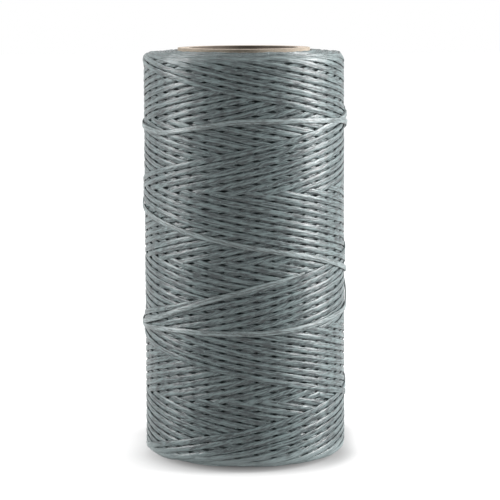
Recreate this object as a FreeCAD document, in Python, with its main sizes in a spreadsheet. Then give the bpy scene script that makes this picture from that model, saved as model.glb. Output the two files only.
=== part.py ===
"""A spool of flat waxed thread.

It is a spiral-wound paper tube of six glued plies, with one long thread cross-wound on it. The frame has
+Z along the spool's axis, and its origin is the centre of the tube's lower end, on which the spool stands.
Lengths are in millimetres and angles in degrees.
"""

import FreeCAD, Part

import math
import os

import Sketcher
from FreeCAD import Placement, Rotation, Vector

PARTS_FOLDER = "parts"
UP = Vector(0, 0, 1)
CENTRE = Vector(0, 0, 0)

# The driving dimensions: alias, value, what it is
SIZES = (
    ("tube_bore", 27.6, "inside diameter of the paper tube"),
    ("liner_ply", 0.45, "thickness of the smooth ply that lines the bore"),
    ("body_ply", 0.6, "thickness of each grey-brown ply in the wall"),
    ("outer_ply", 0.5, "thickness of the ply that the thread is wound on"),
    ("glue_film", 0.02, "thickness of the glue between two plies, and of the air under the thread"),
    ("strip_lead", 68.0, "height that a paper strip climbs in one turn"),
    ("butt_gap", 0.5, "height of the gap where the edges of a ply's strip meet"),
    ("seam_stagger", 65.0, "angle from one ply's seam to the next one's"),
    ("tube_overhang", 1.1, "length of bare tube that stands out of each end of the winding"),
    ("package_length", 105.2, "length of the wound thread along the axis"),
    ("package_diameter", 53.0, "diameter of the finished winding, over its outermost strands"),
    ("turns_depth", 3.4, "depth of the outermost layers of thread"),
    ("top_shoulder", 2.2, "radius of the rounded edge at the winding's upper end"),
    ("foot_shoulder", 3.0, "radius of the rounded edge at the winding's lower end"),
    ("end_flat", 0.2, "least width of flat end face that a rounded edge leaves on the outermost layers"),
    ("seat_gap", 0.06, "clear space between the outermost layers and the winding under them"),
)

BODY_PLIES = 4


def make_sheet(doc):
    """The spreadsheet of driving dimensions, one row for each, with its meaning and its alias."""
    sheet = doc.addObject("Spreadsheet::Sheet", "sizes")
    for row, (alias, value, meaning) in enumerate(SIZES, start=1):
        sheet.set(f"A{row}", meaning)
        sheet.set(f"B{row}", str(value))
        sheet.setAlias(f"B{row}", alias)
    doc.recompute()


def origin_part(body, role):
    """One of a body's own origin planes or axes, found by its role."""
    return next(feature for feature in body.Origin.OriginFeatures if feature.Role == role)


def new_sketch(body, name, role):
    """An empty sketch that lies on one of the body's origin planes."""
    sketch = body.newObject("Sketcher::SketchObject", name)
    sketch.AttachmentSupport = [(origin_part(body, role), "")]
    sketch.MapMode = "FlatFace"
    return sketch


def bound_circle(sketch, name, expression):
    """A circle about the sketch's origin whose radius follows an expression."""
    index = sketch.addGeometry(Part.Circle(CENTRE, UP, 1.0))
    sketch.addConstraint(Sketcher.Constraint("Coincident", index, 3, -1, 1))
    constraint = sketch.addConstraint(Sketcher.Constraint("Radius", index, 1.0))
    sketch.renameConstraint(constraint, name)
    sketch.setExpression(f"Constraints.{name}", expression)


def bound_box(sketch, left, right, bottom, top):
    """A rectangle in a sketch, whose sides follow expressions as distances from the sketch's origin."""
    corners = [Vector(1, 1, 0), Vector(2, 1, 0), Vector(2, 2, 0), Vector(1, 2, 0)]
    for start, end in zip(corners, corners[1:] + corners[:1]):
        sketch.addGeometry(Part.LineSegment(start, end))
    for side in range(4):
        sketch.addConstraint(Sketcher.Constraint("Coincident", side, 2, (side + 1) % 4, 1))
    for side, direction in enumerate(("Horizontal", "Vertical", "Horizontal", "Vertical")):
        sketch.addConstraint(Sketcher.Constraint(direction, side))
    for name, kind, side, expression in (
        ("left", "DistanceX", 3, left),
        ("right", "DistanceX", 1, right),
        ("bottom", "DistanceY", 0, bottom),
        ("top", "DistanceY", 2, top),
    ):
        constraint = sketch.addConstraint(Sketcher.Constraint(kind, -1, 1, side, 1, 1.0))
        sketch.renameConstraint(constraint, name)
        sketch.setExpression(f"Constraints.{name}", expression)


def make_ring(doc, name, inner, outer, foot, length):
    """A body that holds a plain ring, padded upwards from the height of its foot."""
    body = doc.addObject("PartDesign::Body", name)
    body.Label = name
    sketch = new_sketch(body, f"{name}_section", "XY_Plane")
    sketch.setExpression("AttachmentOffset.Base.z", foot)
    bound_circle(sketch, "inner_radius", inner)
    bound_circle(sketch, "outer_radius", outer)
    pad = body.newObject("PartDesign::Pad", f"{name}_ring")
    pad.Profile = sketch
    pad.setExpression("Length", length)
    doc.recompute()
    return body


def cut_seam(doc, body, inner, outer, length):
    """Cuts the helical seam along which the edges of a ply's paper strip meet."""
    ring_volume = body.Shape.Volume
    sketch = new_sketch(body, f"{body.Label}_seam_section", "XZ_Plane")
    bound_box(
        sketch,
        left=f"{inner} - sizes.butt_gap",
        right=f"{outer} + sizes.butt_gap",
        bottom="sizes.butt_gap",
        top="2 * sizes.butt_gap",
    )
    sketch.setExpression("AttachmentOffset.Base.y", "-3 * sizes.butt_gap")
    seam = body.newObject("PartDesign::SubtractiveHelix", f"{body.Label}_seam")
    seam.Profile = sketch
    seam.ReferenceAxis = (sketch, ["V_Axis"])
    seam.Mode = "pitch-height-angle"
    seam.setExpression("Pitch", "sizes.strip_lead")
    seam.setExpression("Height", f"{length} + 4 * sizes.butt_gap")
    doc.recompute()
    if body.Shape.Volume >= ring_volume:
        raise RuntimeError(f"the seam of {body.Label} cuts nothing")


def make_plies(doc):
    """The paper tube, ply by ply from the bore outwards, and the expression of its outer radius.

    The edges of the liner's strip overlap and are glued shut. Those of the other strips meet at an open seam.
    """
    names = ["liner_ply"] + [f"body_ply_{number}" for number in range(1, BODY_PLIES + 1)] + ["outer_ply"]
    thicknesses = ["liner_ply"] + ["body_ply"] * BODY_PLIES + ["outer_ply"]
    tube_length = "(sizes.package_length + 2 * sizes.tube_overhang)"
    plies = []
    inner = "sizes.tube_bore / 2"
    for number, (name, thickness) in enumerate(zip(names, thicknesses)):
        outer = f"{inner} + sizes.{thickness}"
        ply = make_ring(doc, name, inner, outer, foot="0", length=tube_length)
        if name != names[0]:
            cut_seam(doc, ply, inner, outer, tube_length)
        ply.Placement = Placement(CENTRE, Rotation(UP, 0))
        ply.setExpression("Placement.Rotation.Angle", f"{number} * sizes.seam_stagger")
        plies.append(ply)
        inner = f"{outer} + sizes.glue_film"
    return plies, inner


def round_rim(doc, body, name, end, radius):
    """Rounds the outer edge of a ring at one end: min picks the lower one and max the upper one."""
    circles = [
        (edge.Curve.Center.z, edge.Curve.Radius, f"Edge{number}")
        for number, edge in enumerate(body.Shape.Edges, start=1)
        if isinstance(edge.Curve, Part.Circle)
    ]
    widest = max(circle_radius for _, circle_radius, _ in circles)
    rims = [circle for circle in circles if math.isclose(circle[1], widest)]
    ring_volume = body.Shape.Volume
    base = body.Tip
    fillet = body.newObject("PartDesign::Fillet", name)
    fillet.Base = (base, [end(rims)[2]])
    fillet.setExpression("Radius", f"min(sizes.{radius}; sizes.turns_depth - sizes.end_flat)")
    doc.recompute()
    if body.Shape.Volume >= ring_volume:
        raise RuntimeError(f"{name} rounds nothing")


def make_winding(doc, tube_radius):
    """The wound thread: a ring on the tube, and the outermost layers as a round-shouldered sleeve over it."""
    span = {"foot": "sizes.tube_overhang", "length": "sizes.package_length"}
    surface = "sizes.package_diameter / 2"
    sleeve_bore = f"{surface} - sizes.turns_depth"
    package = make_ring(doc, "thread_package", tube_radius, f"{sleeve_bore} - sizes.seat_gap", **span)
    turns = make_ring(doc, "outer_turns", sleeve_bore, surface, **span)
    round_rim(doc, turns, "foot_rounding", min, "foot_shoulder")
    round_rim(doc, turns, "top_rounding", max, "top_shoulder")
    return [package, turns]


def check_document(doc, pieces):
    """Stops on an object that failed to compute, and on a piece that isn't one sound solid."""
    for thing in doc.Objects:
        if "Invalid" in thing.State or "Error" in thing.State:
            raise RuntimeError(f"{thing.Label} failed: {thing.State}")
    for piece in pieces:
        shape = piece.Shape
        if shape.isNull() or not shape.isValid() or len(shape.Solids) != 1 or shape.Volume <= 0:
            raise RuntimeError(f"{piece.Label} is not one valid solid")


def main():
    doc = FreeCAD.newDocument("thread_spool")
    make_sheet(doc)
    plies, tube_radius = make_plies(doc)
    pieces = plies + make_winding(doc, tube_radius)
    doc.recompute()
    check_document(doc, pieces)
    os.makedirs(PARTS_FOLDER, exist_ok=True)
    for piece in pieces:
        piece.Shape.exportStep(os.path.join(PARTS_FOLDER, f"{piece.Label}.step"))
        box = piece.Shape.BoundBox
        print(f"{piece.Label}: {piece.Shape.Volume:.1f} mm3, z {box.ZMin:.2f} to {box.ZMax:.2f}")


main()
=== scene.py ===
"""The looks of a spool of flat waxed thread, dressed over its measured frame.

Lengths are in metres, in the frame's own axes. An angle round the spool is in turns: it is 0 on the side that
faces the camera and grows to the right. An age is in winding cycles, one up and back down, before the thread's end.
"""

import math

import bmesh
import bpy
from bpy.props import FloatProperty, FloatVectorProperty, IntProperty, PointerProperty
from mathutils import Euler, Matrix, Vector


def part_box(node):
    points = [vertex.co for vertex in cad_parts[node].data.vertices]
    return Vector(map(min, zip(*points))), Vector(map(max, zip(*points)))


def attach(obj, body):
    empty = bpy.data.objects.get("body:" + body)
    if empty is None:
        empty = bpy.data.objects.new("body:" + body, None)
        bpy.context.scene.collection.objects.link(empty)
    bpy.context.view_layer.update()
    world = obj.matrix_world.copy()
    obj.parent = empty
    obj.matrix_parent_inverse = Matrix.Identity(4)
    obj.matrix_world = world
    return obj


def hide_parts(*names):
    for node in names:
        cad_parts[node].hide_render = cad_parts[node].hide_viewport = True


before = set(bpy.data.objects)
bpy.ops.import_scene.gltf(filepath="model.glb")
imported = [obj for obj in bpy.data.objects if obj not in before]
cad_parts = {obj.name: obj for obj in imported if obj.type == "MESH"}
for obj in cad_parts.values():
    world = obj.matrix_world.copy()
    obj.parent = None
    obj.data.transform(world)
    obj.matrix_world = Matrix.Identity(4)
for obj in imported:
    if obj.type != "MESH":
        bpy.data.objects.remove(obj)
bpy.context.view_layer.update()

bl_info = {
    "name": "Thread spool",
    "version": (1, 0, 0),
    "blender": (4, 5, 0),
    "location": "3D View > Sidebar > Spool",
    "description": "Winds a spool of flat waxed thread on its paper tube and lights it for a picture",
    "category": "Object",
}

MM = 0.001
PACKAGE_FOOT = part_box("thread_package")[0][2]
PACKAGE_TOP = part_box("thread_package")[1][2]
PACKAGE_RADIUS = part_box("outer_turns")[1][0]
TUBE_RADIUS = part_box("outer_ply")[1][0]
TUBE_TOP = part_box("outer_ply")[1][2]

THREAD_UV = "thread_uv"
THREAD_FINISH = "flat_waxed_thread"
WINDING_TREE = "winding"

# Points along a stroke of the outer coverage, a stroke of the second one, an end loop and each hand-laid line
OUTER_STROKE_POINTS = 680
SECOND_STROKE_POINTS = 214
LOOP_POINTS = 23
LAST_WRAPS_POINTS = 760
STRAY_WRAP_POINTS = 120

# What every stretch of the wound thread follows: the inputs that the trees share
WINDING_RULE = (
    "Strands", "Cycle Turns", "Lower Corner", "Upper Corner", "Newest Rising", "Radius", "Layer Height",
    "Thread Width", "Thread Thickness", "Package Foot", "Package Top", "Foot Shoulder", "Top Shoulder",
    "Taper", "Wander", "Seed",
)

# The last of the thread, laid by hand over the rest: the angle in degrees, the height over the package's foot and
# the lift over the strands below, both in millimetres
LAST_WRAPS = (
    (44, 85.4, -0.6), (58, 86.9, -0.2), (75, 88.3, 0.0), (100, 89.4, 0.0), (140, 90.0, 0.0), (180, 89.9, 0.0),
    (220, 89.0, 0.0), (255, 87.6, 0.0), (275, 86.5, 0.1), (300, 85.5, 0.0), (310, 85.3, 0.0), (322, 85.9, 0.0),
    (340, 87.3, 0.0), (350, 88.1, 0.0), (360, 88.5, 0.0), (380, 88.6, 0.0), (400, 88.4, 0.0), (420, 88.0, 0.0),
    (440, 87.2, 0.1), (480, 83.5, 0.0), (540, 77.0, 0.0), (590, 71.3, 0.0), (635, 65.5, 0.1), (660, 63.0, 0.0),
    (680, 61.0, 0.0), (700, 59.0, 0.0), (720, 57.1, 0.0), (740, 55.4, 0.0), (760, 53.5, 0.0), (780, 51.3, 0.0),
    (803, 48.7, 0.1), (850, 44.8, 0.0), (900, 41.0, 0.0), (950, 37.0, 0.0), (995, 34.2, 0.1), (1020, 34.6, 0.0),
    (1040, 34.8, 0.0), (1080, 34.9, 0.0), (1100, 35.2, 0.0), (1120, 36.1, 0.0), (1140, 37.4, 0.0),
    (1160, 38.4, 0.0), (1169, 39.8, 0.1), (1177, 42.4, 0.4), (1185, 45.4, 0.45), (1200, 47.4, 0.35),
    (1230, 49.0, 0.0), (1250, 50.0, -0.6),
)
STRAY_WRAP = (
    (-132, 31.2, -0.6), (-112, 32.2, -0.1), (-85, 34.4, 0.1), (-60, 37.0, 0.0), (-40, 40.0, 0.0),
    (-20, 43.2, 0.0), (0, 45.8, -0.1), (20, 48.0, -0.3), (36, 49.4, -0.6),
)


class WindingSettings(bpy.types.PropertyGroup):
    """How the thread lies on the tube."""

    thread_width: FloatProperty(
        name="Thread width", description="Width of the flat thread", default=1.51 * MM, unit="LENGTH"
    )
    thread_thickness: FloatProperty(
        name="Thread thickness", description="Thickness of the flat thread", default=0.44 * MM, unit="LENGTH"
    )
    layer_height: FloatProperty(
        name="Layer height", description="Height that one strand adds to the winding", default=0.3 * MM,
        unit="LENGTH",
    )
    strands: IntProperty(
        name="Strands", description="Cycles of winding that cover the package once", default=19, min=2
    )
    full_turns: IntProperty(
        name="Full turns", description="Turns in a cycle, before it falls short by one strand", default=6, min=1
    )
    top_overrun: FloatProperty(
        name="Top overrun", description="Height past the upper end where two strokes would meet in a corner",
        default=0.65 * MM, unit="LENGTH",
    )
    foot_overrun: FloatProperty(
        name="Foot overrun", description="Depth past the lower end where two strokes would meet in a corner",
        default=0.2 * MM, unit="LENGTH",
    )
    turn_back: FloatProperty(
        name="Turn-back", description="Turns on each side of a reversal over which the thread bends back",
        default=26 / 360,
    )
    newest_rising: FloatProperty(
        name="Newest rising strand", description="Height above the package's foot where the last rising strand "
        "faces the camera", default=80.8 * MM, unit="LENGTH",
    )
    top_shoulder: FloatProperty(
        name="Top shoulder", description="Radius of the package's rounded upper end", default=2.2 * MM,
        unit="LENGTH",
    )
    foot_shoulder: FloatProperty(
        name="Foot shoulder", description="Radius of the package's rounded lower end", default=2.4 * MM,
        unit="LENGTH",
    )
    spread: FloatProperty(
        name="Spread", description="Share by which the soft thread narrows on a crossing strand and widens beside it",
        default=0.06, subtype="FACTOR",
    )
    taper: FloatProperty(
        name="Taper", description="How much further out the thread lies at the foot than at the top",
        default=0.22 * MM, unit="LENGTH",
    )
    wander: FloatProperty(
        name="Wander", description="How far a strand strays from its even path", default=0.14 * MM, unit="LENGTH"
    )
    heap: FloatProperty(
        name="Heap", description="How much further the loops stand out of the end faces beside the tube than at the "
        "shoulder", default=0.85 * MM, unit="LENGTH",
    )
    seed: IntProperty(name="Seed", description="Start of every random draw", default=7)


class FinishSettings(bpy.types.PropertyGroup):
    """Colours of the thread and of the tube."""

    thread: FloatVectorProperty(
        name="Thread", description="Colour of the waxed thread", subtype="COLOR", default=(0.01, 0.018, 0.021)
    )
    thread_wax: FloatVectorProperty(
        name="Wax", description="Colour of the thread where wax lies on it", subtype="COLOR",
        default=(0.139, 0.186, 0.188),
    )
    # Painted light: wax painted paler where the raised last wraps catch more light, and near the foot, where light
    # bounces up from the floor
    lit_wax: FloatVectorProperty(
        name="Scuffed wax", description="Colour of the wax on the last wraps, which hands have rubbed",
        subtype="COLOR", default=(0.232, 0.284, 0.287),
    )
    # Painted shade: the thread under the surface is painted darker, as the shade it lies in
    shade_painted_wax: FloatVectorProperty(
        name="Deep wax", description="Colour of the wax under the surface, where nothing has rubbed it",
        subtype="COLOR", default=(0.105, 0.14, 0.143),
    )
    board: FloatVectorProperty(
        name="Board", description="Colour of the tube's board", subtype="COLOR", default=(0.55, 0.465, 0.385)
    )
    outside: FloatVectorProperty(
        name="Outer paper", description="Colour of the tube's outer strip", subtype="COLOR",
        default=(0.44, 0.37, 0.295),
    )
    liner: FloatVectorProperty(
        name="Liner", description="Colour of the paper that lines the bore", subtype="COLOR",
        default=(0.16, 0.13, 0.105),
    )


class StudioSettings(bpy.types.PropertyGroup):
    """Camera and lamps."""

    camera_distance: FloatProperty(
        name="Camera distance", description="From the spool's axis to the lens", default=0.56, unit="LENGTH"
    )
    camera_aside: FloatProperty(
        name="Camera aside", description="How far the lens is to the right of the axis", default=1.4 * MM,
        unit="LENGTH",
    )
    camera_height: FloatProperty(
        name="Camera height", description="Height of the lens above the floor", default=0.1254, unit="LENGTH"
    )
    camera_pitch: FloatProperty(
        name="Camera pitch", description="Downward tilt of the camera", default=math.radians(7.26), subtype="ANGLE"
    )
    camera_roll: FloatProperty(
        name="Camera roll", description="Lean of the camera", default=math.radians(-0.25), subtype="ANGLE"
    )
    lens: FloatProperty(name="Lens", description="Focal length in millimetres", default=153.9, unit="CAMERA")
    right_lamp: FloatProperty(
        name="Right lamp", description="Power of the right softbox in watts", default=7.7, unit="POWER"
    )
    left_lamp: FloatProperty(
        name="Left lamp", description="Power of the left softbox in watts", default=4.3, unit="POWER"
    )
    top_lamp: FloatProperty(
        name="Top lamp", description="Power of the softbox overhead in watts", default=1.8, unit="POWER"
    )


class Value:
    """An output in a node tree. Arithmetic on it adds Math nodes to that tree."""

    def __init__(self, nodes, socket):
        self.nodes = nodes
        self.socket = socket

    def output(self, name):
        """Another output of the same node."""
        return Value(self.nodes, self.socket.node.outputs[name])

    def __add__(self, other):
        return self.nodes.maths("ADD", self, other)

    def __radd__(self, other):
        return self.nodes.maths("ADD", other, self)

    def __sub__(self, other):
        return self.nodes.maths("SUBTRACT", self, other)

    def __rsub__(self, other):
        return self.nodes.maths("SUBTRACT", other, self)

    def __mul__(self, other):
        return self.nodes.maths("MULTIPLY", self, other)

    def __truediv__(self, other):
        return self.nodes.maths("DIVIDE", self, other)

    def __rtruediv__(self, other):
        return self.nodes.maths("DIVIDE", other, self)

    def fraction(self):
        return self.nodes.maths("FRACT", self)

    def whole(self):
        return self.nodes.maths("FLOOR", self)

    def size(self):
        return self.nodes.maths("ABSOLUTE", self)

    def at_least(self, other):
        return self.nodes.maths("MAXIMUM", self, other)

    def at_most(self, other):
        return self.nodes.maths("MINIMUM", self, other)

    def root(self):
        return self.nodes.maths("SQRT", self)

    def power(self, other):
        return self.nodes.maths("POWER", self, other)

    def sign(self):
        return self.nodes.maths("SIGN", self)

    def sine(self):
        """The sine of an angle in turns."""
        return self.nodes.maths("SINE", self * math.tau)

    def cosine(self):
        """The cosine of an angle in turns."""
        return self.nodes.maths("COSINE", self * math.tau)

    def ease(self, low, high):
        """0 below low, 1 above high, and a smooth step between them."""
        return self.nodes.add(
            "ShaderNodeMapRange",
            {"Value": self, "From Min": low, "From Max": high, "To Min": 0.0, "To Max": 1.0},
            interpolation_type="SMOOTHSTEP",
        )

    def span(self, low, high):
        """0 to 1 stretched to low to high."""
        return self * (high - low) + low


class Nodes:
    """Adds nodes to a tree and links them to each other."""

    def __init__(self, tree):
        self.tree = tree

    def feed(self, socket, value):
        if isinstance(value, Value):
            self.tree.links.new(value.socket, socket)
        else:
            socket.default_value = value

    def add(self, kind, inputs=None, output=0, **settings):
        """A new node. Its settings come first, because some of them change its inputs."""
        node = self.tree.nodes.new(kind)
        for name, setting in settings.items():
            setattr(node, name, setting)
        for name, value in (inputs or {}).items():
            self.feed(node.inputs[name], value)
        return Value(self, node.outputs[output])

    def maths(self, operation, *values):
        node = self.tree.nodes.new("ShaderNodeMath")
        node.operation = operation
        for socket, value in zip(node.inputs, values):
            self.feed(socket, value)
        return Value(self, node.outputs[0])

    def vector(self, x, y, z):
        return self.add("ShaderNodeCombineXYZ", {"X": x, "Y": y, "Z": z})

    def split(self, vector):
        """The three parts of a vector."""
        parts = self.add("ShaderNodeSeparateXYZ", {"Vector": vector})
        return parts, parts.output("Y"), parts.output("Z")

    def place(self):
        """The spot's place on the object, as its three parts."""
        return self.split(self.add("ShaderNodeTexCoord", output="Object"))

    def noise(self, vector, detail, roughness=0.5):
        """Smooth noise from 0 to 1, whose grain is about one unit of the vector."""
        inputs = {"Vector": vector, "Scale": 1.0, "Detail": detail, "Roughness": roughness}
        return self.add("ShaderNodeTexNoise", inputs)

    def sway(self, place, waves, start):
        """Smooth noise from about -1 to 1 along a line, with about so many waves to each unit of it."""
        inputs = {"W": place * waves + start, "Scale": 1.0, "Detail": 1.0}
        return self.add("ShaderNodeTexNoise", inputs, noise_dimensions="1D") * 4.0 - 2.0

    def draw(self, number):
        """A random value from 0 to 1 for each whole number."""
        return self.add("ShaderNodeTexWhiteNoise", {"W": number}, noise_dimensions="1D")

    def blend(self, factor, first, second):
        """A colour between two others, each of them an output or plain red, green and blue."""
        node = self.tree.nodes.new("ShaderNodeMix")
        node.data_type = "RGBA"
        factor_socket, first_socket, second_socket = node.inputs[0], node.inputs[6], node.inputs[7]
        self.feed(factor_socket, factor)
        for socket, colour in ((first_socket, first), (second_socket, second)):
            self.feed(socket, colour if isinstance(colour, Value) else (*colour, 1.0))
        return Value(self, node.outputs[2])


class GeometryTree(Nodes):
    """A Geometry Nodes tree with named inputs and one output."""

    def __init__(self, name):
        super().__init__(bpy.data.node_groups.new(name, "GeometryNodeTree"))
        self.tree.interface.new_socket("Geometry", in_out="INPUT", socket_type="NodeSocketGeometry")
        self.tree.interface.new_socket("Geometry", in_out="OUTPUT", socket_type="NodeSocketGeometry")
        self.group_input = self.tree.nodes.new("NodeGroupInput")
        self.given = Value(self, self.group_input.outputs["Geometry"])

    def input(self, name, kind="Float"):
        self.tree.interface.new_socket(name, in_out="INPUT", socket_type=f"NodeSocket{kind}")
        return Value(self, self.group_input.outputs[name])

    def store(self, geometry, name, value, kind="FLOAT", domain="POINT"):
        """The geometry with a named value kept on it."""
        inputs = {"Geometry": geometry, "Name": name, "Value": value}
        return self.add("GeometryNodeStoreNamedAttribute", inputs, data_type=kind, domain=domain)

    def stored(self, name, kind="FLOAT"):
        """The named value that the geometry keeps."""
        return self.add("GeometryNodeInputNamedAttribute", {"Name": name}, data_type=kind)

    def finish(self, geometry, material):
        """Ends the tree in Realize Instances and Set Material."""
        realized = self.add("GeometryNodeRealizeInstances", {"Geometry": geometry})
        finished = self.add("GeometryNodeSetMaterial", {"Geometry": realized, "Material": material})
        self.feed(self.tree.nodes.new("NodeGroupOutput").inputs[0], finished)


def new_object(name, data):
    """A new object in the scene, at the origin."""
    thing = bpy.data.objects.new(name, data)
    bpy.context.scene.collection.objects.link(thing)
    return thing


def run_tree(name, tree, inputs, data=None):
    """Runs a tree on a new object and keeps the result as that object's plain mesh."""
    start = new_object(name, data or bpy.data.meshes.new(f"{name}_start"))
    modifier = start.modifiers.new("build", "NODES")
    modifier.node_group = tree
    sockets = {item.name: item.identifier for item in tree.interface.items_tree if item.in_out == "INPUT"}
    for label, value in inputs.items():
        modifier[sockets[label]] = value
    depsgraph = bpy.context.evaluated_depsgraph_get()
    mesh = bpy.data.meshes.new_from_object(start.evaluated_get(depsgraph), depsgraph=depsgraph)
    bpy.data.objects.remove(start)
    mesh.name = name
    return new_object(name, mesh)


def thread_section(nodes, thickness, width):
    """The flat thread's section, which has rounded corners and keeps each point's distance across the thread."""
    squareness = 0.55
    ring = nodes.add("GeometryNodeCurvePrimitiveCircle", {"Resolution": 10, "Radius": 1.0}, mode="RADIUS")
    x, y, _ = nodes.split(nodes.add("GeometryNodeInputPosition"))
    flat_x = x.size().power(squareness) * x.sign() * thickness / 2.0
    flat_y = y.size().power(squareness) * y.sign() * width / 2.0
    ring = nodes.store(ring, "across", flat_y)
    return nodes.add("GeometryNodeSetPosition", {"Geometry": ring, "Position": nodes.vector(flat_x, flat_y, 0.0)})


def sweep_thread(nodes, curves, turns, height, radius, lean, swell, along, rule, material):
    """Lays curves on the package at the given places and gives them the flat thread's section.

    lean is how far the strand's flat side faces up, swell scales its section, and along is the length of thread
    before each point.
    """
    outward_x = turns.sine()
    outward_y = turns.cosine() * -1.0
    curves = nodes.store(curves, "along", along)
    curves = nodes.store(curves, "facing", nodes.vector(outward_x, outward_y, lean), "FLOAT_VECTOR")
    curves = nodes.store(curves, "swell", swell)
    place = nodes.vector(outward_x * radius, outward_y * radius, height)
    laid = nodes.add("GeometryNodeSetPosition", {"Geometry": curves, "Position": place})
    facing = nodes.stored("facing", "FLOAT_VECTOR")
    turned = nodes.add("GeometryNodeSetCurveNormal", {"Curve": laid, "Normal": facing}, mode="FREE")
    swept = nodes.add("GeometryNodeCurveToMesh", {
        "Curve": turned,
        "Profile Curve": thread_section(nodes, rule["Thread Thickness"], rule["Thread Width"]),
        "Scale": nodes.stored("swell"),
        "Fill Caps": True,
    })
    smooth = nodes.add("GeometryNodeSetShadeSmooth", {"Geometry": swept})
    uv = nodes.vector(nodes.stored("along"), nodes.stored("across"), 0.0)
    nodes.finish(nodes.store(smooth, THREAD_UV, uv, "FLOAT2", "CORNER"), material)


def strand_pattern(rule):
    """The height that a strand climbs in a turn, and the height where the newest falling strand faces the camera."""
    lead = (rule["Upper Corner"] - rule["Lower Corner"]) * 2.0 / rule["Cycle Turns"]
    return lead, rule["Upper Corner"] * 2.0 - rule["Newest Rising"]


def strand_ages(rule, turns, height):
    """The ages of the falling and the rising strand through a spot, in coverages, give or take whole ones."""
    lead, newest_falling = strand_pattern(rule)
    return (height - newest_falling) / lead + turns, (rule["Newest Rising"] - height) / lead + turns


def depth_at_crossing(older, climb_length):
    """How many layers deep a strand lies, from how much older the crossing strand is, in coverages.

    It lies on a strand that is just older and under one that is just newer, and climbs from one to the other over
    the climb length.
    """
    depth = older.fraction()
    return depth * (1.0 - depth.ease(1.0 - climb_length, 1.0))


def shoulder_drop(rule, height):
    """How far a rounded end lies inside the package's radius at a height, and how far it faces up there."""
    steepest, lean_at_top, lean_at_foot = 0.9, 1.1, 0.7
    foot_shoulder, top_shoulder = rule["Foot Shoulder"], rule["Top Shoulder"]
    over_top = (height - rule["Package Top"] + top_shoulder).at_least(0.0).at_most(top_shoulder * steepest)
    under_foot = (rule["Package Foot"] + foot_shoulder - height).at_least(0.0).at_most(foot_shoulder * steepest)
    drop_at_top = top_shoulder - (top_shoulder * top_shoulder - over_top * over_top).root()
    drop_at_foot = foot_shoulder - (foot_shoulder * foot_shoulder - under_foot * under_foot).root()
    from_top = (rule["Package Top"] - height) / (rule["Package Top"] - rule["Package Foot"])
    drop = drop_at_top + drop_at_foot - from_top * rule["Taper"]
    return drop, over_top / top_shoulder * lean_at_top - under_foot / foot_shoulder * lean_at_foot


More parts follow.
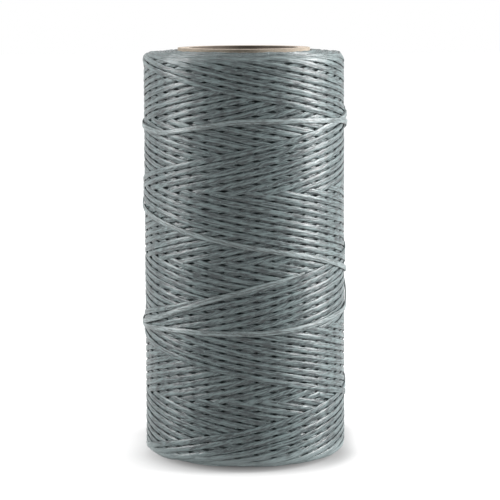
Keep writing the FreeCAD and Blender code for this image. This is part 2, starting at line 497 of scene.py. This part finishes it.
def winding_tree():
    """The tree that winds the thread: each of its pieces is a stretch of the route, found from its age alone."""
    nodes = GeometryTree(WINDING_TREE)
    pieces = nodes.input("Pieces", "Int")
    points = nodes.input("Points", "Int")
    first_age = nodes.input("First Age")
    age_step = nodes.input("Age Step")
    age_span = nodes.input("Age Span")
    turn_back = nodes.input("Turn-back")
    heap = nodes.input("Heap")
    deepest = nodes.input("Deepest Level")
    spread = nodes.input("Spread")
    rule = {name: nodes.input(name) for name in WINDING_RULE}
    material = nodes.input("Material", "Material")
    strands, cycle_turns, seed = rule["Strands"], rule["Cycle Turns"], rule["Seed"]
    wander, thickness = rule["Wander"], rule["Thread Thickness"]

    line = nodes.add("GeometryNodeCurvePrimitiveLine", mode="POINTS")
    stretch = nodes.add("GeometryNodeResampleCurve", {"Curve": line, "Count": points}, mode="COUNT")
    starts = nodes.add("GeometryNodePoints", {"Count": pieces})
    copies = nodes.add("GeometryNodeInstanceOnPoints", {"Points": starts, "Instance": stretch})
    copies = nodes.store(copies, "number", nodes.add("GeometryNodeInputIndex"), domain="INSTANCE")
    curves = nodes.add("GeometryNodeRealizeInstances", {"Geometry": copies})
    number = nodes.stored("number")
    share = nodes.add("GeometryNodeSplineParameter")
    age = first_age + number * age_step - share * age_span

    # The even route down and up the package, which bends back a little differently at each reversal
    lead, newest_falling = strand_pattern(rule)
    turns = (newest_falling - rule["Lower Corner"]) / lead - age * cycle_turns
    from_foot = (0.5 - (age.fraction() - 0.5).size()) * cycle_turns
    from_top = (age.fraction() - 0.5).size() * cycle_turns
    inwards = age.cosine()
    reversal = (age * 2.0 + 0.5).whole()
    at_foot = inwards.sign() * 0.5 + 0.5
    least_bend = at_foot.span(1.0, 0.7)
    extra_bend = at_foot.span(0.2, 0.6)
    bend = turn_back * (nodes.draw(reversal + seed + 0.25) * extra_bend + least_bend)
    bend_low = (bend - from_foot).at_least(0.0)
    bend_high = (bend - from_top).at_least(0.0)
    bend_rise = (bend_low * bend_low - bend_high * bend_high) / (bend * 2.0)
    height = rule["Lower Corner"] + lead * (from_foot + bend_rise)

    # The layers that lie over the strand: those of the newer coverages, and those that cross it in its own
    age_of_fall, age_of_rise = strand_ages(rule, turns, height)
    fall_number = (age + 0.25).whole()
    rise_number = (age - 0.25).whole()
    climb_length = 0.45 / strands
    under_falls = depth_at_crossing(age_of_fall - (rise_number + 0.5) / strands, climb_length)
    under_rises = depth_at_crossing(age_of_rise - (fall_number - 0.5) / strands, climb_length)
    from_fall = ((age + 0.25).fraction() - 0.5).size()
    rising = from_fall.ease(0.25 - turn_back / cycle_turns, 0.25 + turn_back / cycle_turns)
    level = age * 2.0 / strands + under_rises + rising * (under_falls - under_rises)
    crossing = ((age_of_rise + rising * (age_of_fall - age_of_rise)) * strands).cosine()

    # How it strays from the rule: it sways, strokes lie apart, and its loops end short of the corner and heap up
    stroke_shift, loop_shift = 1.6, 2.2
    stroke = (age * 2.0).whole()
    near_end = 1.0 - (age * 2.0 - reversal).size().ease(0.02, 0.12)
    stray = nodes.sway(age, waves=40.0, start=seed) * wander
    stray = stray + (nodes.draw(stroke + seed) - 0.5) * (1.0 - near_end) * wander * stroke_shift
    stray = stray + nodes.draw(reversal + seed + 0.5) * near_end * inwards * wander * loop_shift
    heaped = (level / deepest).at_most(1.0) * near_end * inwards * heap
    height = height + stray - heaped

    # The strand's own unevenness, and how it bunches up where it bends back
    radius_sway, crossing_rise, width_sway, lean_sway, bunched = 0.09, 0.1, 0.05, 0.1, 0.26
    drop, tilt = shoulder_drop(rule, height)
    unevenness = (nodes.sway(age, waves=55.0, start=seed + 31.0) * radius_sway + crossing * crossing_rise) * thickness
    radius = rule["Radius"] - thickness / 2.0 - level * rule["Layer Height"] - drop + unevenness
    bunching = (bend_low + bend_high) / bend * bunched
    swell = nodes.sway(age, waves=70.0, start=seed + 43.0) * width_sway + 1.0 - crossing * spread - bunching
    lean = tilt + nodes.sway(age, waves=34.0, start=seed + 67.0) * lean_sway
    along = age * cycle_turns * (math.tau * PACKAGE_RADIUS)
    sweep_thread(nodes, curves, turns, height, radius, lean, swell, along, rule, material)
    return nodes.tree


def wraps_tree():
    """The tree that lays a line of thread through listed points on the wound package, over whatever strands lie
    there.
    """
    nodes = GeometryTree("wraps")
    points = nodes.input("Points", "Int")
    rule = {name: nodes.input(name) for name in WINDING_RULE}
    material = nodes.input("Material", "Material")
    seed = rule["Seed"]

    line = nodes.add("GeometryNodeMeshToCurve", {"Mesh": nodes.given})
    line = nodes.add("GeometryNodeCurveSplineType", {"Curve": line}, spline_type="CATMULL_ROM")
    line = nodes.add("GeometryNodeResampleCurve", {"Curve": line, "Count": points}, mode="COUNT")
    turns, lift, height = nodes.split(nodes.add("GeometryNodeInputPosition"))

    layers_over = 1.4
    climb_length = 1.5 / rule["Strands"]
    age_of_fall, age_of_rise = strand_ages(rule, turns, height)
    under_falls = depth_at_crossing(age_of_fall, climb_length)
    under_rises = depth_at_crossing(age_of_rise, climb_length)
    level = under_falls + under_rises - layers_over

    lean_sway, width_sway, width_share = 0.15, 0.05, 0.92
    drop, tilt = shoulder_drop(rule, height)
    radius = rule["Radius"] - rule["Thread Thickness"] / 2.0 - level * rule["Layer Height"] - drop + lift
    lean = tilt + nodes.sway(turns, waves=6.0, start=seed + 12.0) * lean_sway
    height = height + nodes.sway(turns, waves=7.0, start=seed + 90.0) * rule["Wander"]
    swell = nodes.sway(turns, waves=9.0, start=seed + 5.0) * width_sway + width_share
    along = turns * (math.tau * PACKAGE_RADIUS)
    sweep_thread(nodes, line, turns, height, radius, lean, swell, along, rule, material)
    return nodes.tree


def polyline(name, points):
    """A line of vertices at (turns, lift, height), from points in degrees and millimetres."""
    mesh = bpy.data.meshes.new(name)
    vertices = [(angle / 360, lift * MM, PACKAGE_FOOT + height * MM) for angle, height, lift in points]
    mesh.from_pydata(vertices, [(index, index + 1) for index in range(len(points) - 1)], [])
    return mesh


def winding_inputs(settings, material):
    """The inputs that the trees share, and the thread's material."""
    return {
        "Strands": float(settings.strands),
        "Cycle Turns": settings.full_turns - 1 / settings.strands,
        "Lower Corner": PACKAGE_FOOT - settings.foot_overrun,
        "Upper Corner": PACKAGE_TOP + settings.top_overrun,
        "Newest Rising": PACKAGE_FOOT + settings.newest_rising,
        "Radius": PACKAGE_RADIUS,
        "Layer Height": settings.layer_height,
        "Thread Width": settings.thread_width,
        "Thread Thickness": settings.thread_thickness,
        "Package Foot": PACKAGE_FOOT,
        "Package Top": PACKAGE_TOP,
        "Foot Shoulder": settings.foot_shoulder,
        "Top Shoulder": settings.top_shoulder,
        "Taper": settings.taper,
        "Wander": settings.wander,
        "Seed": float(settings.seed),
        "Material": material,
    }


def stretch_inputs(settings, pieces, points, first_age, age_step, age_span):
    """The winding tree's own inputs, for a number of stretches of the route."""
    return {
        "Pieces": pieces,
        "Points": points,
        "First Age": first_age,
        "Age Step": age_step,
        "Age Span": age_span,
        "Turn-back": settings.turn_back,
        "Heap": settings.heap,
        "Deepest Level": (PACKAGE_RADIUS - TUBE_RADIUS) / settings.layer_height,
        "Spread": settings.spread,
    }


def stroke_inputs(settings, strokes, points, first_age):
    """The winding tree's own inputs, for whole strokes one after another from the first age on."""
    return stretch_inputs(settings, strokes, points, first_age, age_step=-0.5, age_span=0.5)


def new_material(name):
    """A new material, the helper that adds its nodes, and its surface shader."""
    material = bpy.data.materials.new(name)
    material.use_nodes = True
    return material, Nodes(material.node_tree), material.node_tree.nodes["Principled BSDF"]


def shaded(colour, share):
    """A colour made darker, or paler up to white."""
    return tuple(min(share * part, 1.0) for part in colour)


def add_bump(nodes, shader, height, strength, distance):
    """A bump on the surface, whose height of 1 stands out by the distance."""
    bump = nodes.add("ShaderNodeBump", {"Height": height, "Strength": strength, "Distance": distance})
    nodes.feed(shader.inputs["Normal"], bump)


def thread_material(name, thread, wax, paler_end_wax, gloss=0.72):
    """Flat waxed thread: filaments that run along it under a satin skin of wax, painted paler near both ends of the
    package and darker at both edges as shade.
    """
    material, nodes, shader = new_material(name)
    along, across, _ = nodes.split(nodes.add("ShaderNodeUVMap", uv_map=THREAD_UV))
    twist = 0.16
    twisted_along = along * math.cos(twist) + across * math.sin(twist)
    twisted_across = across * math.cos(twist) - along * math.sin(twist)

    def grain(length, width, start, detail, directions=(along, across)):
        """Noise whose grains have this length in the first direction and this width in the second."""
        lengthwise, widthwise = directions
        return nodes.noise(nodes.vector(lengthwise / length, widthwise / width, start), detail)

    filaments = grain(length=8 * MM, width=0.48 * MM, start=0.0, detail=3.0)
    fibres = grain(2 * MM, 0.4 * MM, start=4.0, detail=3.0, directions=(twisted_along, twisted_across))
    patches = grain(length=5 * MM, width=2 * MM, start=9.0, detail=2.0)
    specks = grain(length=0.8 * MM, width=0.45 * MM, start=17.0, detail=1.0)

    # Wax lies along the filaments; both edges of the thread are painted darker, as shade in the grooves between
    # strands
    edge_distance = 0.75 * MM
    painted_edge_shade = (across.size() / edge_distance).ease(0.6, 1.0) * 0.6
    waxed = (filaments * 0.75 + fibres * 0.65 + patches * 0.2 - 0.3).ease(0.36, 0.64) * (1.0 - painted_edge_shade)
    colour = nodes.blend(waxed, thread, wax)

    # Painted paler over the lowest 5 mm, as light bounced up from the floor, and paler, though less so, over the
    # uppermost 4 mm
    _, _, height = nodes.place()
    at_foot = 1.0 - height.ease(PACKAGE_FOOT + 1.0 * MM, PACKAGE_FOOT + 5.0 * MM)
    at_top = height.ease(PACKAGE_TOP - 4.0 * MM, PACKAGE_TOP)
    paler_ends = (at_foot * 0.9 + at_top * 0.45) * patches.ease(0.3, 0.6).span(0.6, 1.0) * (1.0 - painted_edge_shade)
    colour = nodes.blend(paler_ends, colour, paler_end_wax)

    # Crumbs of wax sit on it here and there
    crumbs = specks.ease(0.66, 0.76) * 0.5
    nodes.feed(shader.inputs["Base Color"], nodes.blend(crumbs, colour, shaded(wax, 1.8)))
    nodes.feed(shader.inputs["Roughness"], (fibres * 0.6 + specks * 0.4).ease(0.3, 0.7).span(0.27, 0.48))
    shader.inputs["Specular IOR Level"].default_value = gloss
    add_bump(nodes, shader, filaments * 0.55 + fibres * 0.45, strength=1.0, distance=0.27 * MM)
    return material


def core_material(shade_painted_wax):
    """Thread packed in the shade: strands side by side round the axis, painted darker between them as shade."""
    strand_height = 1.5 * MM
    material, nodes, shader = new_material("packed_thread")
    _, _, height = nodes.place()
    # Painted shade in the grooves between the strands
    painted_shade_between = ((height / strand_height).fraction() - 0.5).size().ease(0.3, 0.5)
    colour = nodes.blend(painted_shade_between, shaded(shade_painted_wax, 0.8), shaded(shade_painted_wax, 0.3))
    nodes.feed(shader.inputs["Base Color"], colour)
    shader.inputs["Roughness"].default_value = 0.7
    return material


def paper_material(name, colour, start):
    """Spiral-wound paper board: fibres that follow the tube, flecks, and a soft matte surface."""
    material, nodes, shader = new_material(name)
    x, y, z = nodes.place()

    def grain(width, height, detail, roughness=0.5):
        """Noise whose grains have this width and height."""
        return nodes.noise(nodes.vector(x / width, y / width, z / height + start), detail, roughness)

    fibres = grain(width=0.5 * MM, height=0.16 * MM, detail=4.0, roughness=0.6)
    flecks = grain(width=0.22 * MM, height=0.22 * MM, detail=2.0)
    clouds = grain(width=6 * MM, height=6 * MM, detail=3.0)
    pulp = nodes.blend((fibres * 0.5 + clouds * 0.5).ease(0.3, 0.7), shaded(colour, 0.68), shaded(colour, 1.25))
    flecked = nodes.blend(flecks.ease(0.66, 0.74) * 0.5, pulp, shaded(colour, 0.35))
    nodes.feed(shader.inputs["Base Color"], flecked)
    shader.inputs["Roughness"].default_value = 0.86
    shader.inputs["Specular IOR Level"].default_value = 0.3
    add_bump(nodes, shader, fibres * 0.7 + flecks * 0.3, strength=0.5, distance=0.05 * MM)
    return material


def keep_thread(piece):
    """A finished piece of the thread: it rides on the spool."""
    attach(piece, "root")


class SPOOL_OT_wind_thread(bpy.types.Operator):
    """Winds the two outermost coverages of the thread, stroke by stroke"""

    bl_idname = "spool.wind_thread"
    bl_label = "Wind the thread"

    def execute(self, context):
        settings = context.scene.spool_winding
        colours = context.scene.spool_finish
        material = thread_material(THREAD_FINISH, colours.thread, colours.thread_wax, colours.lit_wax)
        tree = winding_tree()
        shared = winding_inputs(settings, material)

        # The outer coverage, in four pieces of about a quarter of its strokes each, the newest first
        half, odd = divmod(settings.strands, 2)
        first_age = 0.0
        for number, strokes in enumerate((half + odd, half, half + odd, half), start=1):
            first_age += strokes / 2
            inputs = stroke_inputs(settings, strokes, OUTER_STROKE_POINTS, first_age)
            piece = run_tree(f"outer_winding_{number}", tree, {**shared, **inputs})
            keep_thread(piece)
            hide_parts("outer_turns")

        # The coverage under it, which shows in the gaps: painted darker as shade, duller, and pressed a little wider
        pressed = 1.15
        inputs = stroke_inputs(settings, 2 * settings.strands, SECOND_STROKE_POINTS, 2.0 * settings.strands)
        inputs["Material"] = thread_material(
            "shade_painted_thread", shaded(colours.shade_painted_wax, 0.4), colours.shade_painted_wax, colours.shade_painted_wax, gloss=0.5
        )
        inputs["Thread Width"] = pressed * settings.thread_width
        inputs["Spread"] = 0.0
        keep_thread(run_tree("second_winding", tree, {**shared, **inputs}))
        return {"FINISHED"}


class SPOOL_OT_lay_last_wraps(bpy.types.Operator):
    """Lays the last, hand-wound wraps over the even winding"""

    bl_idname = "spool.lay_last_wraps"
    bl_label = "Lay the last wraps"

    def execute(self, context):
        settings = context.scene.spool_winding
        lit_wax = context.scene.spool_finish.lit_wax
        # The last wraps are painted paler, as the light that the raised wraps catch
        material = thread_material("lit_thread", shaded(lit_wax, 0.3), lit_wax, lit_wax)
        shared = winding_inputs(settings, material)
        tree = wraps_tree()
        for name, wraps, points in (
            ("last_wraps", LAST_WRAPS, LAST_WRAPS_POINTS),
            ("stray_wrap", STRAY_WRAP, STRAY_WRAP_POINTS),
        ):
            keep_thread(run_tree(name, tree, {**shared, "Points": points}, polyline(f"{name}_line", wraps)))
        return {"FINISHED"}


def ring_mesh(name, outline, sides):
    """A closed ring turned from an outline of (radius, height) points that runs once round its section."""
    count = len(outline)
    vertices = [
        (radius * math.sin(math.tau * side / sides), -radius * math.cos(math.tau * side / sides), height)
        for side in range(sides)
        for radius, height in outline
    ]
    faces = [
        (
            side * count + row,
            (side + 1) % sides * count + row,
            (side + 1) % sides * count + (row + 1) % count,
            side * count + (row + 1) % count,
        )
        for side in range(sides)
        for row in range(count)
    ]
    mesh = bpy.data.meshes.new(name)
    mesh.from_pydata(vertices, [], faces)
    shell = bmesh.new()
    shell.from_mesh(mesh)
    bmesh.ops.recalc_face_normals(shell, faces=shell.faces)
    shell.to_mesh(mesh)
    shell.free()
    return mesh


def add_core(settings):
    """The mass of thread between the end loops, as one closed ring that the outer windings hide."""
    layers_over = 4.6
    clearance = 0.02 * MM
    set_in = 1.3 * MM
    round_off = 1.2 * MM
    outside = PACKAGE_RADIUS - layers_over * settings.layer_height
    inside = TUBE_RADIUS + clearance
    low = PACKAGE_FOOT + set_in
    high = PACKAGE_TOP - set_in
    outline = [(inside, low), (outside - round_off, low), (outside, low + round_off)]
    outline += [(outside, high - round_off), (outside - round_off, high), (inside, high)]
    return new_object("wound_core", ring_mesh("wound_core", outline, sides=144))


class SPOOL_OT_fill_package(bpy.types.Operator):
    """Builds the deep winding: its turned-back loops on both end faces, and the mass between them"""

    bl_idname = "spool.fill_package"
    bl_label = "Fill the package"

    def execute(self, context):
        settings = context.scene.spool_winding
        material = bpy.data.materials[THREAD_FINISH]
        tree = bpy.data.node_groups[WINDING_TREE]
        shared = winding_inputs(settings, material)
        square_edge = 0.2 * MM
        shared["Foot Shoulder"] = shared["Top Shoulder"] = square_edge

        # Each cycle under the first coverage shows a loop at each end, and a coverage is two layers deep
        reach = 55 / 360
        span = 2 * reach / shared["Cycle Turns"]
        bare_layers = 2.2
        depth = PACKAGE_RADIUS - TUBE_RADIUS - bare_layers * settings.layer_height
        loops = int(depth / (2 * settings.layer_height) * settings.strands) - settings.strands
        for name, middle in (("top_end_loops", 0.5), ("foot_end_loops", 0.0)):
            first_age = settings.strands + middle + span / 2
            inputs = stretch_inputs(settings, loops, LOOP_POINTS, first_age, age_step=1.0, age_span=span)
            keep_thread(run_tree(name, tree, {**shared, **inputs}))

        core = add_core(settings)
        core.data.materials.append(core_material(context.scene.spool_finish.shade_painted_wax))
        keep_thread(core)
        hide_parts("thread_package")
        return {"FINISHED"}


class SPOOL_OT_dress_tube(bpy.types.Operator):
    """Gives the tube's plies their paper and board"""

    bl_idname = "spool.dress_tube"
    bl_label = "Dress the tube"

    def execute(self, context):
        colours = context.scene.spool_finish
        paler, darker = 1.08, 0.92
        for name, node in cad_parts.items():
            if "_ply" not in name:
                continue
            if name == "liner_ply":
                colour = colours.liner
            elif name == "outer_ply":
                colour = colours.outside
            else:
                colour = shaded(colours.board, paler if int(name[-1]) % 2 else darker)
            # The name's letters give each ply its own place in the noise
            start = float(sum(map(ord, name)) % 97)
            node.data.materials.clear()
            node.data.materials.append(paper_material(f"{name}_paper", colour, start))
        return {"FINISHED"}


def seen_directly(nodes):
    """1 for a ray from the camera, or one that reaches the surface by a mirror or a pane, and 0 for others."""
    path = nodes.add("ShaderNodeLightPath")
    return (path + path.output("Is Glossy Ray") + path.output("Is Transmission Ray")).at_most(1.0)


def floor_glow(nodes):
    """How white the floor is to the camera: the glow fades towards the spool, which paints a shadow round it, and
    there the lamps' shadow is left to show as well.

    The painted shadow reaches one package radius further behind the axis than in front of it. It is a little narrower
    to the sides, and deepest close to the foot's right side.
    """
    side, depth, _ = nodes.place()
    depth = depth - depth.at_least(0.0).at_most(PACKAGE_RADIUS)
    from_axis = (side * side + depth * depth).root()
    sideways = side * side / (from_axis * from_axis + MM * MM)
    # Painted shadow, deepest close to the foot's right side
    painted_shadow_at_right = side.ease(0.6 * PACKAGE_RADIUS, PACKAGE_RADIUS)
    painted_shadow_at_right = painted_shadow_at_right * (1.0 - from_axis.ease(PACKAGE_RADIUS, 1.17 * PACKAGE_RADIUS))
    from_middle = from_axis + sideways * (0.05 * PACKAGE_RADIUS)
    # The glow fades towards the spool, which paints a shadow round its foot
    near_glow = from_middle.ease(0.52 * PACKAGE_RADIUS, 1.38 * PACKAGE_RADIUS) * 0.84
    far_glow = from_axis.ease(2.0 * PACKAGE_RADIUS, 10.0 * PACKAGE_RADIUS) * 0.16
    return near_glow - painted_shadow_at_right * 0.2 + far_glow


def add_floor():
    """A wide pale floor that looks white to the camera, with a painted shadow round the spool, and keeps the spool's
    shadow.
    """
    reach = 3.0
    corners = [(-reach, -reach, 0), (reach, -reach, 0), (reach, reach, 0), (-reach, reach, 0)]
    mesh = bpy.data.meshes.new("floor")
    mesh.from_pydata(corners, [], [(0, 1, 2, 3)])
    floor = new_object("floor", mesh)
    material, nodes, shader = new_material("floor")
    directly = seen_directly(nodes)
    as_lighting, as_seen = (0.72, 0.72, 0.72), (0.25, 0.25, 0.25)
    nodes.feed(shader.inputs["Base Color"], nodes.blend(directly, as_lighting, as_seen))
    shader.inputs["Roughness"].default_value = 0.9
    shader.inputs["Specular IOR Level"].default_value = 0.1
    shader.inputs["Emission Color"].default_value = (1.0, 1.0, 1.0, 1.0)
    nodes.feed(shader.inputs["Emission Strength"], directly * floor_glow(nodes))
    mesh.materials.append(material)


def new_backdrop():
    """A world that is white to the camera and lights the spool only softly."""
    ambient = 0.012
    world = bpy.data.worlds.new("backdrop")
    world.use_nodes = True
    nodes = Nodes(world.node_tree)
    background = world.node_tree.nodes["Background"]
    background.inputs["Color"].default_value = (1.0, 1.0, 1.0, 1.0)
    nodes.feed(background.inputs["Strength"], seen_directly(nodes).span(ambient, 1.0))
    return world


def add_softbox(name, place, size, power):
    """A rectangular lamp that faces the middle of the spool."""
    lamp = bpy.data.lights.new(name, "AREA")
    lamp.shape = "RECTANGLE"
    lamp.size, lamp.size_y = size
    lamp.energy = power
    holder = new_object(name, lamp)
    holder.location = place
    aim = Vector((0.0, 0.0, TUBE_TOP / 2)) - Vector(place)
    holder.rotation_euler = aim.to_track_quat("-Z", "Y").to_euler()


def add_camera(studio):
    """The camera, in front of the spool and tilted down at it."""
    camera_data = bpy.data.cameras.new("camera")
    camera_data.lens = studio.lens
    camera = new_object("camera", camera_data)
    camera.location = (studio.camera_aside, -studio.camera_distance, studio.camera_height)
    tilt = Euler((math.pi / 2 - studio.camera_pitch, 0.0, 0.0)).to_matrix()
    roll = Euler((0.0, 0.0, studio.camera_roll)).to_matrix()
    camera.rotation_euler = (tilt @ roll).to_euler()
    return camera


class SPOOL_OT_set_stage(bpy.types.Operator):
    """Sets the floor, the softboxes and the camera"""

    bl_idname = "spool.set_stage"
    bl_label = "Set the stage"

    def execute(self, context):
        scene = context.scene
        studio = scene.spool_studio
        scene.view_settings.view_transform = "Standard"
        add_floor()
        scene.world = new_backdrop()
        add_softbox("right_softbox", place=(0.6, -0.035, 0.31), size=(0.28, 0.42), power=studio.right_lamp)
        add_softbox("left_softbox", place=(-0.6, -0.05, 0.31), size=(0.3, 0.42), power=studio.left_lamp)
        add_softbox("overhead_softbox", place=(0.0, 0.3, 0.6), size=(0.5, 0.4), power=studio.top_lamp)
        scene.camera = add_camera(studio)
        return {"FINISHED"}


class SPOOL_PT_panel(bpy.types.Panel):
    """The steps that make the spool, in order"""

    bl_label = "Thread spool"
    bl_idname = "SPOOL_PT_panel"
    bl_space_type = "VIEW_3D"
    bl_region_type = "UI"
    bl_category = "Spool"

    def draw(self, context):
        for operator in OPERATORS:
            self.layout.operator(operator.bl_idname)


OPERATORS = (
    SPOOL_OT_wind_thread,
    SPOOL_OT_lay_last_wraps,
    SPOOL_OT_fill_package,
    SPOOL_OT_dress_tube,
    SPOOL_OT_set_stage,
)
GROUPS = {"spool_winding": WindingSettings, "spool_finish": FinishSettings, "spool_studio": StudioSettings}


def register():
    for group in GROUPS.values():
        bpy.utils.register_class(group)
    for name, group in GROUPS.items():
        setattr(bpy.types.Scene, name, PointerProperty(type=group))
    for operator in OPERATORS:
        bpy.utils.register_class(operator)
    bpy.utils.register_class(SPOOL_PT_panel)


def unregister():
    bpy.utils.unregister_class(SPOOL_PT_panel)
    for operator in reversed(OPERATORS):
        bpy.utils.unregister_class(operator)
    for name in GROUPS:
        delattr(bpy.types.Scene, name)
    for group in reversed(GROUPS.values()):
        bpy.utils.unregister_class(group)


def main():
    register()
    bpy.ops.spool.wind_thread()
    bpy.ops.spool.lay_last_wraps()
    bpy.ops.spool.fill_package()
    bpy.ops.spool.dress_tube()
    bpy.ops.spool.set_stage()


if __name__ == "__main__":
    main()
